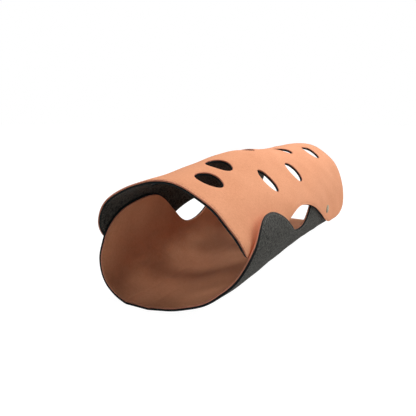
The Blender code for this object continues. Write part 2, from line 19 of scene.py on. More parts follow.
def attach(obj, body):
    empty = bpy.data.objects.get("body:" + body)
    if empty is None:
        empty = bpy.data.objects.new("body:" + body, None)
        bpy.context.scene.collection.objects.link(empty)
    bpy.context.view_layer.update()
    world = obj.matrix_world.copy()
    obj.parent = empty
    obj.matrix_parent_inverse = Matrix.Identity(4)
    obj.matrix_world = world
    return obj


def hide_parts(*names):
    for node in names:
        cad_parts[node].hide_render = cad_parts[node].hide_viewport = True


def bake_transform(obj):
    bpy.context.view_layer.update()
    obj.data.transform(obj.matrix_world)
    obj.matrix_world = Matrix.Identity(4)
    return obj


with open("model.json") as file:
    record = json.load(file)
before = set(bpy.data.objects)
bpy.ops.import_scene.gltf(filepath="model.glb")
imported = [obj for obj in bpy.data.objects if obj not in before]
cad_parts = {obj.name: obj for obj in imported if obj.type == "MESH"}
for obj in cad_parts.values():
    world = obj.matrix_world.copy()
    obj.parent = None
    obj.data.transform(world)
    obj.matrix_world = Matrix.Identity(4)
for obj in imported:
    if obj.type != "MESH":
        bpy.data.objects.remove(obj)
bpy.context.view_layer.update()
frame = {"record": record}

# %% [markdown]
# ## Camera and light
#
# The camera stands low, to the right of the front mouth, and looks along the tunnel. A long way
# to set it is by eye. Here its place comes from the lines that run along the tunnel, whose
# meeting point in the picture gives the direction, and from the width of the front mouth. The
# side shift is the one that centres the packed model's box, and the camera moves with it.

# %% Camera
MM = 0.001
SIDE_SHIFT = -10.6 * MM
CAMERA_PLACE = (0.3354 + SIDE_SHIFT, -0.7680, 0.2686)
LEVEL_DEGREES = 90
CAMERA_TILT_DEGREES = 11.834
CAMERA_YAW_DEGREES = 29.421
SENSOR_WIDTH = 36
LENS = 36.346

camera_data = bpy.data.cameras.new("camera")
camera_data.sensor_width = SENSOR_WIDTH
camera_data.lens = LENS
camera = bpy.data.objects.new("camera", camera_data)
camera.location = CAMERA_PLACE
camera_turns = (LEVEL_DEGREES - CAMERA_TILT_DEGREES, 0.0, CAMERA_YAW_DEGREES)
camera.rotation_euler = [math.radians(degrees) for degrees in camera_turns]
bpy.context.scene.collection.objects.link(camera)
bpy.context.scene.camera = camera
bpy.context.scene.view_settings.view_transform = "Standard"
print("camera at", CAMERA_PLACE)

# %% [markdown]
# A material is a graph of nodes, and sums written with nodes are hard to read. So a small class
# wraps a socket and lets Python's own operators add the Math nodes, and one method adds any
# other node from its type, its settings and its sockets.


# %% Shader sums
class Value:
    """A number on a socket, which can be used in sums."""

    def __init__(self, graph, socket):
        self.graph = graph
        self.socket = socket

    def sum(self, operation, first, second):
        """Add a Math node, and give its result."""
        made = self.graph.node("ShaderNodeMath", {"operation": operation}, {0: first, 1: second})
        return Value(self.graph, made.outputs[0])

    def __add__(self, other):
        return self.sum("ADD", self, other)

    __radd__ = __add__

    def __mul__(self, other):
        return self.sum("MULTIPLY", self, other)

    __rmul__ = __mul__

    def __sub__(self, other):
        return self.sum("SUBTRACT", self, other)

    def __rsub__(self, other):
        return self.sum("SUBTRACT", other, self)

    def limited(self):
        """Hold the number between 0 and 1."""
        return self.sum("MINIMUM", self.sum("MAXIMUM", self, 0.0), 1.0)


class Graph:
    """The nodes of a new material, with its Principled shader, or of the sky, which has none."""

    def __init__(self, owner):
        self.owner = owner
        owner.use_nodes = True
        self.tree = owner.node_tree
        self.shader = self.tree.nodes.get("Principled BSDF")
        self.output = next(node for node in self.tree.nodes if node.type.startswith("OUTPUT"))

    def node(self, kind, settings, sockets):
        """Add a node: its settings first, then the values or links of its sockets."""
        made = self.tree.nodes.new(kind)
        for name, setting in settings.items():
            if name == "stops":
                self.stops(made.color_ramp, setting)
            else:
                setattr(made, name, setting)
        for name, value in sockets.items():
            self.feed(made.inputs[name], value)
        return made

    def stops(self, ramp, stops):
        """Give a colour ramp its stops, each a place and a grey level."""
        while len(ramp.elements) < len(stops):
            ramp.elements.new(1.0)
        for element, (place, level) in zip(ramp.elements, stops):
            element.position = place
            element.color = (level, level, level, 1.0)

    def feed(self, socket, value):
        """Link a socket, or set it."""
        if isinstance(value, Value):
            value = value.socket
        if isinstance(value, bpy.types.NodeSocket):
            self.tree.links.new(value, socket)
        else:
            socket.default_value = value

    def noise(self, place, scale, detail, distortion):
        """Soft noise from 0 to 1, with scale in features per metre."""
        sockets = {"Vector": place, "Scale": scale, "Detail": detail, "Distortion": distortion}
        return Value(self, self.node("ShaderNodeTexNoise", {}, sockets).outputs[0])

    def ramp(self, value, stops):
        """Read a value through stops of place and level."""
        return Value(self, self.node("ShaderNodeValToRGB", {"stops": stops}, {0: value}).outputs[0])

    def mix(self, share, first, second):
        """Mix two colours."""
        settings = {"data_type": "RGBA"}
        made = self.node("ShaderNodeMix", settings, {0: share, 6: first, 7: second})
        return made.outputs[2]

    def finish(self, sockets):
        """Set or link the shader's own sockets."""
        for name, value in sockets.items():
            self.feed(self.shader.inputs[name], value)
        return self.owner


print("a graph's methods:", [name for name in vars(Graph) if not name.startswith("_")])

# %% [markdown]
# The floor and the air behind it are white in the picture, without more light on the felt. Light
# Path says when a ray comes straight from the camera or off something glossy, and only such rays
# see the extra white. Every other ray sees the plain floor and the plain sky.


# %% Floor and sky
SKY_LEVEL = 0.12
FLOOR_SIZE = 40.0
FLOOR_SHADE = (0.80, 0.79, 0.78, 1.0)
FLOOR_ROUGHNESS = 0.9
FLOOR_WHITE_SHARE = 0.80
FLOOR_WHITE_STRENGTH = 1.22
WHITE = (1.0, 1.0, 1.0, 1.0)


def seen_directly(graph):
    """One for rays from the camera, and for those that shiny things send on."""
    path = graph.node("ShaderNodeLightPath", {}, {})
    kinds = ("Is Camera Ray", "Is Glossy Ray", "Is Transmission Ray")
    camera_ray, glossy_ray, passing_ray = (Value(graph, path.outputs[kind]) for kind in kinds)
    return (camera_ray + glossy_ray + passing_ray).limited()


def mix_shaders(graph, share, first, second):
    """Show the second shader by its share, and the first one by the rest."""
    both = graph.node("ShaderNodeMixShader", {}, {0: share, 1: first.outputs[0], 2: second.outputs[0]})
    graph.feed(graph.output.inputs["Surface"], both.outputs[0])
    return graph.owner


def floor_finish():
    graph = Graph(bpy.data.materials.new("pale_floor"))
    graph.finish({"Base Color": FLOOR_SHADE, "Roughness": FLOOR_ROUGHNESS})
    glow = graph.node("ShaderNodeEmission", {}, {"Color": WHITE, "Strength": FLOOR_WHITE_STRENGTH})
    return mix_shaders(graph, seen_directly(graph) * FLOOR_WHITE_SHARE, graph.shader, glow)


def sky_finish():
    graph = Graph(bpy.data.worlds.new("sky"))
    plain = graph.tree.nodes["Background"]
    graph.feed(plain.inputs["Color"], (SKY_LEVEL, SKY_LEVEL, SKY_LEVEL, 1.0))
    white = graph.node("ShaderNodeBackground", {}, {"Color": WHITE})
    return mix_shaders(graph, seen_directly(graph), plain, white)


floor_bm = bmesh.new()
bmesh.ops.create_grid(floor_bm, x_segments=1, y_segments=1, size=FLOOR_SIZE / 2)
floor_mesh = bpy.data.meshes.new("ground")
floor_bm.to_mesh(floor_mesh)
floor_bm.free()
floor_mesh.materials.append(floor_finish())
ground = bpy.data.objects.new("ground", floor_mesh)
bpy.context.scene.collection.objects.link(ground)

bpy.context.scene.world = sky_finish()
print("floor", FLOOR_SIZE, "m wide, sky level", SKY_LEVEL)

# %% [markdown]
# Three square lamps light the felt: the main one above, a weaker one to the right, and one
# behind, which lights the rear end and the inside. A single small lamp would be simpler, but its
# shadows would have hard edges. Each lamp has its place, its width and its power.

# %% Lamps
LAMPS = {
    "above": ((-0.1, 0.1, 1.9), 0.9, 25.5),
    "beside": ((1.4, 0.5, 0.9), 0.9, 10.5),
    "behind": ((0.1, 1.7, 0.7), 0.5, 9.0),
}
LAMP_AIM = Vector((0.0, 0.0, 0.1))

for lamp_name, (lamp_place, lamp_size, lamp_power) in LAMPS.items():
    lamp_data = bpy.data.lights.new(lamp_name, "AREA")
    lamp_data.size = lamp_size
    lamp_data.energy = lamp_power
    lamp = bpy.data.objects.new(lamp_name, lamp_data)
    lamp.location = lamp_place
    lamp.rotation_euler = (LAMP_AIM - Vector(lamp_place)).to_track_quat("-Z", "Y").to_euler()
    bpy.context.scene.collection.objects.link(lamp)
print("lamps", list(LAMPS))

# %% [markdown]
# ## The tunnel's skin
#
# Felt of this thickness hardly stretches: it is cut flat and then bent. So each sheet is made
# flat, where its outline, holes and seams are simple, and every point is then moved to its place
# on the tunnel's skin. Modelling the curved felt straight away would stretch its holes and seams.
# The skin is drawn through two rounded outlines, one at each mouth. A place on it is a turn, the
# share of the girth from the floor's middle, and a share of the length.

# %% The two mouths
TUNNEL_LENGTH = 640 * MM
REAR_WIDTH = 230 * MM
REAR_HEIGHT = 209 * MM
MOUTH_WIDTH = 240 * MM
MOUTH_HEIGHT = 191 * MM
MOUTH_OUTLINE_SHARES = [
    (0.007, 0.017), (0.174, 0.066), (0.372, 0.196), (0.511, 0.388), (0.568, 0.547), (0.527, 0.680),
    (0.392, 0.832), (0.196, 0.968), (0.017, 1.002), (-0.160, 0.950), (-0.310, 0.850), (-0.412, 0.691),
    (-0.442, 0.477), (-0.457, 0.306), (-0.391, 0.110), (-0.229, -0.005), (-0.123, -0.011),
]
REAR_RIGHT_SHARES = [
    (0.175, 0.002), (0.331, 0.046), (0.464, 0.154), (0.500, 0.329), (0.477, 0.531),
    (0.407, 0.728), (0.289, 0.883), (0.141, 0.983),
]
REAR_OUTLINE_SHARES = (
    [(0.0, -0.004)] + REAR_RIGHT_SHARES + [(0.0, 1.0)] + [(-x, z) for x, z in reversed(REAR_RIGHT_SHARES)]
)
CURVE_STEPS = 40


def closed_curve(shares, width, height):
    """Sample a closed cubic spline through the outline, with the length run at each sample."""
    points = np.array(shares) * (width, height)
    count = len(points)
    ring = np.eye(count)
    system = 4 * ring + np.roll(ring, 1, axis=1) + np.roll(ring, -1, axis=1)
    following = np.roll(points, -1, axis=0)
    slopes = np.linalg.solve(system, 3 * (following - np.roll(points, 1, axis=0)))
    next_slopes = np.roll(slopes, -1, axis=0)
    t = np.arange(CURVE_STEPS)[None, :, None] / CURVE_STEPS
    samples = (
        points[:, None] * (2 * t**3 - 3 * t**2 + 1)
        + slopes[:, None] * (t**3 - 2 * t**2 + t)
        + following[:, None] * (3 * t**2 - 2 * t**3)
        + next_slopes[:, None] * (t**3 - t**2)
    ).reshape(-1, 2)
    samples = np.concatenate([samples, samples[:1]])
    return samples, np.concatenate([[0.0], np.cumsum(np.hypot(*np.diff(samples, axis=0).T))])


MOUTH_CURVE, MOUTH_RUN = closed_curve(MOUTH_OUTLINE_SHARES, MOUTH_WIDTH, MOUTH_HEIGHT)
REAR_CURVE, REAR_RUN = closed_curve(REAR_OUTLINE_SHARES, REAR_WIDTH, REAR_HEIGHT)
GIRTH = (MOUTH_RUN[-1] + REAR_RUN[-1]) / 2
print("girth", round(GIRTH, 4))

# %% [markdown]
# From the front mouth to the rear one the skin changes fast at first and then hardly, which a
# power of the length gives. Three soft bulges are added: a higher crest, a hollow low on the
# right side, and a slight fullness low on the right of the front mouth. Each has its place along
# the length and its half length, its turn and its half width, and its way sideways and up.

# %% The skin between them
SWELL_POWER = 1.6
BULGES = [
    (0.38, 0.34, 0.500, 0.130, 0 * MM, 13.2 * MM),
    (0.556, 0.45, 0.094, 0.130, -11.0 * MM, 8.25 * MM),
    (0.053, 0.22, 0.159, 0.110, 2.0 * MM, -2.0 * MM),
]
SLOPE_STEP_SHARE = 0.002


def smooth(value):
    """Ease from 0 to 1 with level ends."""
    value = np.clip(value, 0.0, 1.0)
    return value * value * (3 - 2 * value)


def smooth_wave(value):
    """Half a cosine wave from 0 to 1."""
    return 0.5 - 0.5 * np.cos(math.pi * np.clip(value, 0.0, 1.0))


def round_corner(value):
    """Quarter of an ellipse from 0 to 1, steep at the start."""
    value = np.clip(value, 0.0, 1.0)
    return np.sqrt(1 - (1 - value) ** 2)


def on_curve(curve, run, turn):
    """Read a mouth curve at a share of its girth."""
    place = np.mod(turn, 1.0) * run[-1]
    return np.stack([np.interp(place, run, curve[:, axis]) for axis in (0, 1)], axis=-1)


def tube(turn, along):
    """Place on the outside of the tunnel: turn goes right-handed round from the floor's middle."""
    turn, along = np.broadcast_arrays(np.asarray(turn, float), np.asarray(along, float))
    swell = 1 - np.abs(1 - np.clip(along, 0.0, 1.0)) ** SWELL_POWER
    front = on_curve(MOUTH_CURVE, MOUTH_RUN, turn)
    rear = on_curve(REAR_CURVE, REAR_RUN, turn)
    section = front + (rear - front) * swell[..., None]
    for bulge_along, span, bulge_turn, turn_span, sideways, upward in BULGES:
        far = np.abs(np.mod(turn - bulge_turn + 0.5, 1.0) - 0.5)
        share = smooth_wave(1 - np.abs(along - bulge_along) / span) * smooth_wave(1 - far / turn_span)
        section = section + share[..., None] * (sideways, upward)
    height = np.maximum(section[..., 1], 0.0)
    return np.stack([section[..., 0] + SIDE_SHIFT, (along - 0.5) * TUNNEL_LENGTH, height], axis=-1)


def tube_normal(turn, along):
    """Direction straight out of the tunnel's skin."""
    turn, along = np.asarray(turn, float), np.asarray(along, float)
    around = tube(turn + SLOPE_STEP_SHARE, along) - tube(turn - SLOPE_STEP_SHARE, along)
    inner = np.clip(along, SLOPE_STEP_SHARE, 1 - SLOPE_STEP_SHARE)
    lengthwise = tube(turn, inner + SLOPE_STEP_SHARE) - tube(turn, inner - SLOPE_STEP_SHARE)
    out = np.cross(lengthwise, around)
    out[..., 1] = 0.0
    return out / np.linalg.norm(out, axis=-1, keepdims=True)


print("crest of the front mouth", tube(0.5, 0.0).round(4), "of the rear mouth", tube(0.5, 1.0).round(4))

# %% [markdown]
# ## The two sheets
#
# Each sheet has a waist, the valley, with a lobe before and behind it on both sides. Near the
# valley the laps change over: on the right the floor's front lobe lies outside the roof, and the
# roof's rear lobe lies outside the floor, and on the left it is the other way round. The free
# front lobe on the right stands off by a centimetre, the one on the left by a millimetre, and the
# whole skin waves by a fraction of a millimetre, as stiff felt does.
#
# A side has six shares: of the girth, how far it reaches at the valley, in the front lobe, in the
# rear lobe, at the front corner and at the rear corner, and, of the length, where the front lobe
# is widest. The rear crest says where the rear lobe is widest and where its corner starts. Points
# could be drawn by hand instead, but a few shares are easier to fit and stay smooth.

# %% Sheet sizes
ORANGE_FELT = 2.3 * MM
GREY_FELT = 3.15 * MM
BOND_GAP = 0.05 * MM
LAP_GAP = 1.2 * MM
FELT_TOTAL = ORANGE_FELT + BOND_GAP + GREY_FELT
HALF_LAP = (FELT_TOTAL + LAP_GAP) / 2
VALLEY_ALONG_SHARE = 0.425
FLOOR_RIGHT_SHARES = (0.224, 0.308, 0.350, 0.182, 0.235, 0.152)
FLOOR_LEFT_SHARES = (0.217, 0.347, 0.350, 0.217, 0.235, 0.152)
FLOOR_REAR_CREST_SHARES = (0.77, 0.86)
ROOF_RIGHT_SHARES = (0.2165, 0.276, 0.340, 0.210, 0.295, 0.125)
ROOF_LEFT_SHARES = (0.2150, 0.287, 0.340, 0.195, 0.295, 0.180)
ROOF_REAR_CREST_SHARES = (0.90, 0.95)
WEAVE_ALONG_SHARES = (0.30, 0.56)
LAP_RAMP_SHARE = 0.07
RIGHT_FLARE = 10.2 * MM
FLARE_START_SHARE = 0.249
LEFT_FLARE = 1 * MM
WAVE_HEIGHT = 0.35 * MM
WAVE_LENGTHS = (83 * MM, 61 * MM)
WAVE_DRIFT_RADIANS = 2 * math.sin(1.0)
WAVE_FADE_HEIGHT = 10 * WAVE_HEIGHT


def weave(along):
    """Minus one at the front and plus one at the rear, for the roof's right side."""
    start, end = WEAVE_ALONG_SHARES
    return 2 * smooth((along - start) / (end - start)) - 1


class Sheet:
    """One sheet of two felts, with the outline that it is cut to and the way it bends."""

    def __init__(self, name, roof, right, left, rear_crest, layers):
        self.name = name
        self.roof = roof
        self.other = None
        self.sides = {1: right, -1: left}
        self.widest = max(right + left)
        self.rear_crest = rear_crest
        self.layers = layers

    def span(self, along, side):
        """Distance from the middle line to one side's edge, before its corners are rounded."""
        valley, front, rear, _, _, front_crest = self.sides[side]
        fall = smooth_wave((along - front_crest) / (VALLEY_ALONG_SHARE - front_crest))
        rise = smooth_wave((along - VALLEY_ALONG_SHARE) / (self.rear_crest[0] - VALLEY_ALONG_SHARE))
        return front + (valley - front) * fall + (rear - valley) * rise

    def reach(self, along, side):
        """Distance from the middle line to one side's edge, as a share of the girth."""
        along = np.asarray(along, float)
        _, front, rear, front_corner, rear_corner, front_crest = self.sides[side]
        front_round = round_corner(along / front_crest)
        rear_round = round_corner((1 - along) / (1 - self.rear_crest[1]))
        edge = self.span(along, side) - (front - front_corner) * (1 - front_round)
        return edge - (rear - rear_corner) * (1 - rear_round)

    def turn(self, across):
        """Turn round the tunnel of a place across the sheet, positive to the right."""
        return 0.5 - across if self.roof else across

    def stand_off(self, across, along):
        """How far the sheet's outer face stands out from the tunnel's skin."""
        side = np.sign(across)
        distance = np.abs(across)
        other_edge = 0.5 - np.where(side > 0, self.other.span(along, 1), self.other.span(along, -1))
        lap = HALF_LAP * weave(along) * side * smooth((distance - other_edge) / LAP_RAMP_SHARE + 1)
        fade = 1 - smooth(along / VALLEY_ALONG_SHARE)
        front = np.where(side > 0, self.sides[1][1], self.sides[-1][1])
        lift = smooth((distance - FLARE_START_SHARE) / (front - FLARE_START_SHARE))
        if self.roof:
            return lap + LEFT_FLARE * fade * lift * (side < 0)
        return RIGHT_FLARE * fade * lift * (side > 0) - lap

    def bend(self, flat):
        """Move flat points, across, along and up from the outer face in metres, to their places."""
        across, along = flat[:, 0] / GIRTH, flat[:, 1] / TUNNEL_LENGTH
        turn = self.turn(across)
        drift = WAVE_DRIFT_RADIANS * np.sin(turn * math.tau)
        wave = np.sin(math.tau * flat[:, 1] / WAVE_LENGTHS[0] + drift)
        wave = wave * np.sin(math.tau * turn * GIRTH / WAVE_LENGTHS[1])
        skin = tube(turn, along)
        off_ground = smooth(skin[:, 2] / WAVE_FADE_HEIGHT)
        out = self.stand_off(across, along) + flat[:, 2] + WAVE_HEIGHT * wave * off_ground
        return skin + tube_normal(turn, along) * out[:, None]


FLOOR = Sheet(
    "floor", False, FLOOR_RIGHT_SHARES, FLOOR_LEFT_SHARES, FLOOR_REAR_CREST_SHARES,
    (("grey", GREY_FELT), ("orange", ORANGE_FELT)),
)
ROOF = Sheet(
    "roof", True, ROOF_RIGHT_SHARES, ROOF_LEFT_SHARES, ROOF_REAR_CREST_SHARES,
    (("orange", ORANGE_FELT), ("grey", GREY_FELT)),
)
FLOOR.other, ROOF.other = ROOF, FLOOR
print("felt", FELT_TOTAL, "m thick")

# %% [markdown]
# ## Cutting the felt
#
# The blank starts as one flat face inside the outline, and an extrusion gives it its thickness.
# Insets near its rim press in the groove that the seam pulls, a Boolean punches the holes, and a
# bevel rounds the cut edges. Many straight cuts then let it bend. A filled curve would give the
# same outline with less work, but not the groove.

# %% The outline
OUTLINE_STEP = 3.0 * MM
OUTLINE_SAMPLES = 4000


def outline_loop(sheet, step):
    """The sheet's outline, flat, in metres, as points spaced evenly."""
    eased = smooth_wave(np.linspace(0.0, 1.0, OUTLINE_SAMPLES))
    right, left = (
        np.stack([side * sheet.reach(eased, side) * GIRTH, eased * TUNNEL_LENGTH], axis=-1)
        for side in (1, -1)
    )
    loop = np.concatenate([right, left[::-1], right[:1]])
    run = np.concatenate([[0.0], np.cumsum(np.hypot(*np.diff(loop, axis=0).T))])
    places = np.linspace(0.0, run[-1], round(run[-1] / step), endpoint=False)
    return np.stack([np.interp(places, run, loop[:, axis]) for axis in (0, 1)], axis=-1)


print("points in the floor's outline", len(outline_loop(FLOOR, OUTLINE_STEP)))

# %% [markdown]
# The roof has peep holes. Each has its place across the sheet as a share of the girth, its place
# along as a share of the length, and its width and length as shares of one round hole. Both
# sheets also have holes for the press studs, wide under a cap and narrow round a shank.

# %% Holes
PEEP_HOLE = 46 * MM
PEEP_HOLE_SHARES = [
    (0.063, 0.103, 1.00, 1.00), (0.032, 0.211, 1.00, 1.00), (0.123, 0.327, 1.08, 0.76),
    (0.126, 0.540, 1.04, 0.93), (-0.007, 0.447, 1.00, 1.00), (0.031, 0.682, 1.02, 1.00),
    (0.078, 0.862, 1.06, 1.08), (-0.082, 0.140, 1.00, 1.00), (-0.108, 0.330, 1.00, 0.90),
    (-0.098, 0.650, 1.00, 1.00), (-0.056, 0.790, 1.00, 1.00),
]
SNAP_ALONG_SHARE = 0.730
SNAP_TURN_SHARES = {"rear_right": 0.227, "rear_left": 0.700}
SHANK_HOLE = 4.2 * MM
SOCKET_HOLE = 11.4 * MM


def snap_across(sheet, side_name):
    """Place of a press stud across a sheet."""
    turn = SNAP_TURN_SHARES[side_name]
    across = 0.5 - turn if sheet.roof else turn
    return (across + 0.5) % 1.0 - 0.5


def holes_of(sheet):
    """Every hole of a sheet: place, width and length, in metres."""
    found = []
    if sheet.roof:
        found = [
            (across * GIRTH, along * TUNNEL_LENGTH, PEEP_HOLE * width, PEEP_HOLE * length)
            for across, along, width, length in PEEP_HOLE_SHARES
        ]
    for side_name in SNAP_TURN_SHARES:
        outside = (side_name == "rear_right") == sheet.roof
        size = SOCKET_HOLE if outside else SHANK_HOLE
        found.append((snap_across(sheet, side_name) * GIRTH, SNAP_ALONG_SHARE * TUNNEL_LENGTH, size, size))
    return found


print("holes in the roof", len(holes_of(ROOF)))

# %% The blank
SEAM_INSET = 3.4 * MM
GROOVE_HALF_WIDTH = 1.3 * MM
GROOVE_DEPTH = 0.30 * MM
EDGE_ROUND = 0.40 * MM
EDGE_SEGMENTS = 2
HOLE_SIDES = 72
CUT_THROUGH = 20 * MM
SHARP_RADIANS = 1.0


def link_mesh(name, bm):
    """Turn a bmesh into an object."""
    mesh = bpy.data.meshes.new(name)
    bm.to_mesh(mesh)
    bm.free()
    made = bpy.data.objects.new(name, mesh)
    bpy.context.scene.collection.objects.link(made)
    return made


def punched(bm, holes):
    """Punch round holes through a flat felt."""
    cutters = bmesh.new()
    for x, y, width, length in holes:
        stretch = Matrix.Diagonal((width / 2, length / 2, 1.0, 1.0))
        bmesh.ops.create_cone(
            cutters, cap_ends=True, segments=HOLE_SIDES, radius1=1, radius2=1, depth=CUT_THROUGH,
            matrix=Matrix.Translation((x, y, 0.0)) @ stretch,
        )
    felt, cutter = link_mesh("uncut", bm), link_mesh("punch", cutters)
    cut = felt.modifiers.new("holes", "BOOLEAN")
    cut.operation = "DIFFERENCE"
    cut.object = cutter
    bpy.context.view_layer.update()
    evaluated = felt.evaluated_get(bpy.context.evaluated_depsgraph_get())
    result = bmesh.new()
    result.from_mesh(evaluated.to_mesh())
    evaluated.to_mesh_clear()
    for used in (felt, cutter):
        bpy.data.objects.remove(used, do_unlink=True)
    return result


def blank(sheet, thickness, holes):
    """A flat felt with its outline, groove, holes and rounded edges. Its grooved face is up."""
    bm = bmesh.new()
    face = bm.faces.new([bm.verts.new((x, y, 0.0)) for x, y in outline_loop(sheet, OUTLINE_STEP)])
    bm.normal_update()
    if face.normal.z < 0:
        face.normal_flip()
    lower = bmesh.ops.extrude_face_region(bm, geom=[face], use_keep_orig=True)["geom"]
    top = next(item for item in lower if isinstance(item, bmesh.types.BMFace))
    bmesh.ops.translate(bm, verts=top.verts[:], vec=(0.0, 0.0, thickness))
    bmesh.ops.recalc_face_normals(bm, faces=bm.faces[:])
    groove = (
        (SEAM_INSET - GROOVE_HALF_WIDTH, 0.0),
        (GROOVE_HALF_WIDTH, -GROOVE_DEPTH),
        (GROOVE_HALF_WIDTH, GROOVE_DEPTH),
    )
    for width, depth in groove:
        bmesh.ops.inset_individual(bm, faces=[top], thickness=width, depth=depth, use_even_offset=True)
    bm = punched(bm, holes)
    sharp = [edge for edge in bm.edges if edge.is_manifold and edge.calc_face_angle() > SHARP_RADIANS]
    bmesh.ops.bevel(
        bm, geom=sharp, offset=EDGE_ROUND, offset_type="OFFSET", affect="EDGES", segments=EDGE_SEGMENTS,
        profile=0.5, material=-1, clamp_overlap=True,
    )
    return bm


print("seam groove", round(2 * GROOVE_HALF_WIDTH / MM, 2), "mm wide,", round(GROOVE_DEPTH / MM, 2), "mm deep")

# %% Cuts that let it bend
ACROSS_STEP = 5 * MM
ALONG_STEP = 8 * MM
SPLIT_ALONG_SHARE = 0.405
TOLERANCE = 0.001 * MM


def cut_lines(bm, axis, start, end, step):
    """Cut straight across a flat felt at even steps."""
    direction = Vector((1.0, 0.0, 0.0)) if axis == 0 else Vector((0.0, 1.0, 0.0))
    count = round((end - start) / step)
    for index in range(1, count):
        place = direction * (start + (end - start) * index / count)
        everything = bm.verts[:] + bm.edges[:] + bm.faces[:]
        bmesh.ops.bisect_plane(bm, geom=everything, dist=TOLERANCE, plane_co=place, plane_no=direction)


def half(bm, front):
    """Keep the part before or behind the split, and close the cut."""
    kept = bm.copy()
    result = bmesh.ops.bisect_plane(
        kept, geom=kept.verts[:] + kept.edges[:] + kept.faces[:], dist=TOLERANCE,
        plane_co=(0.0, SPLIT_ALONG_SHARE * TUNNEL_LENGTH, 0.0), plane_no=(0.0, 1.0, 0.0),
        clear_outer=front, clear_inner=not front,
    )
    rim = [item for item in result["geom_cut"] if isinstance(item, bmesh.types.BMEdge)]
    bmesh.ops.edgeloop_fill(kept, edges=[edge for edge in rim if edge.is_boundary])
    return kept


def halves(sheet, thickness):
    """The front and the rear half of a felt, flat, cut fine enough to bend."""
    bm = blank(sheet, thickness, holes_of(sheet))
    widest = sheet.widest * GIRTH
    made = []
    for front in (True, False):
        part = half(bm, front)
        start, end = (0.0, SPLIT_ALONG_SHARE) if front else (SPLIT_ALONG_SHARE, 1.0)
        cut_lines(part, 1, start * TUNNEL_LENGTH, end * TUNNEL_LENGTH, ALONG_STEP)
        cut_lines(part, 0, -widest, widest, ACROSS_STEP)
        made.append(part)
    bm.free()
    return made


print("cuts every", round(ACROSS_STEP / MM), "mm across and every", round(ALONG_STEP / MM), "mm along")

# %% [markdown]
# ## Bending the felt
#
# Every point of a flat felt has a known place on the skin, and every flat direction a known
# direction there, so the shading normals are worked out once on the flat felt, where a face is
# level and a cut edge is upright, and are then carried to the bent one.

# %% Flat normals, and the bend
FLAT_PLACE = "flat_place"
LEVEL_FACE_COSINE = 0.9
PROBE = 0.2 * MM
NEARLY_NOTHING = 1e-12


def flat_normals(bm, thickness):
    """Shading normals of a flat felt: level on its faces and rounded over its edges."""
    made = []
    for vert in bm.verts:
        steep = [face.normal for face in vert.link_faces if abs(face.normal.z) < LEVEL_FACE_COSINE]
        if steep:
            over = np.clip((vert.co.z - thickness + EDGE_ROUND) / EDGE_ROUND, 0.0, 1.0)
            under = np.clip((EDGE_ROUND - vert.co.z) / EDGE_ROUND, 0.0, 1.0)
            lean = float(over - under)
            sideways = sum(steep, Vector((0.0, 0.0, 0.0)))
            sideways.z = 0.0
            sideways.normalize()
            sideways *= math.sqrt(max(0.0, 1 - lean * lean))
            made.append((sideways.x, sideways.y, lean))
        else:
            made.append(vert.normal.to_tuple())
    return np.array(made)


def bent(sheet, flat, normals):
    """Bend flat points and their normals on to the tunnel."""
    places = sheet.bend(flat)
    slopes = []
    for axis in range(3):
        step = np.zeros(3)
        step[axis] = PROBE
        slopes.append(sheet.bend(flat + step) - sheet.bend(flat - step))
    crossed = [np.cross(slopes[1], slopes[2]), np.cross(slopes[2], slopes[0]), np.cross(slopes[0], slopes[1])]
    facing = np.sign(np.sum(slopes[2] * crossed[2], axis=-1))[:, None]
    out = sum(crossed[axis] * normals[:, axis, None] for axis in range(3)) * facing
    return places, out / (np.linalg.norm(out, axis=-1, keepdims=True) + NEARLY_NOTHING)


def keep_flat_place(piece, flat):
    """Remember each point's place in the flat felt, for the finishes."""
    layer = piece.data.attributes.new(FLAT_PLACE, "FLOAT_VECTOR", "POINT")
    layer.data.foreach_set("vector", flat.ravel())


def felt_piece(name, sheet, part, thickness, top, inner, finishes):
    """Bend one flat felt into a piece. The top is the depth of its upper face; inner turns it over."""
    part.normal_update()
    normals = flat_normals(part, thickness)
    flat = np.array([vert.co.to_tuple() for vert in part.verts])
    steep = [abs(face.normal.z) < LEVEL_FACE_COSINE for face in part.faces]
    flat[:, 2] -= thickness
    if inner:
        flat[:, 2] = -thickness - flat[:, 2]
        normals[:, 2] = -normals[:, 2]
    flat[:, 2] -= top
    places, normals = bent(sheet, flat, normals)
    for vert, place in zip(part.verts, places):
        vert.co = place
    for face, cut in zip(part.faces, steep):
        face.material_index = int(cut)
        face.smooth = True
    if part.calc_volume(signed=True) < 0:
        bmesh.ops.reverse_faces(part, faces=part.faces[:])
    piece = link_mesh(name, part)
    for finish in finishes:
        piece.data.materials.append(finish)
    piece.data.normals_split_custom_set_from_vertices(normals.tolist())
    keep_flat_place(piece, flat)
    return piece


print("slopes measured over", round(2 * PROBE / MM, 2), "mm")

# %% [markdown]
# ## Finishes
#
# Needled felt has no weave. Its look comes from short fibres that lie in all directions, from a
# soft mottling where they are denser, and from wide, faint blotches. Each is a noise of its own
# size, read at the point's place in the flat felt, so that the pattern bends with the cloth. A
# hair system would show single fibres, but hair can't be baked. A pattern has its features per
# metre, its detail and its curl.

# %% Where a felt's pattern lies
BLOTCHES = (16, 2.0, 0.0)
MOTTLE = (300, 3.0, 0.4)
FIBRES = (620, 4.0, 1.6)
FUZZ = (2200, 3.0, 1.0)
FUZZ_SHARE = 0.35


def cloth_place(graph):
    """The point's place in the flat felt."""
    settings = {"attribute_type": "GEOMETRY", "attribute_name": FLAT_PLACE}
    return graph.node("ShaderNodeAttribute", settings, {}).outputs["Vector"]


def fibre_coat(graph, place):
    """Fibres as a height from 0 to 1: curled strands with finer fuzz on them."""
    return graph.noise(place, *FIBRES) * (1 - FUZZ_SHARE) + graph.noise(place, *FUZZ) * FUZZ_SHARE


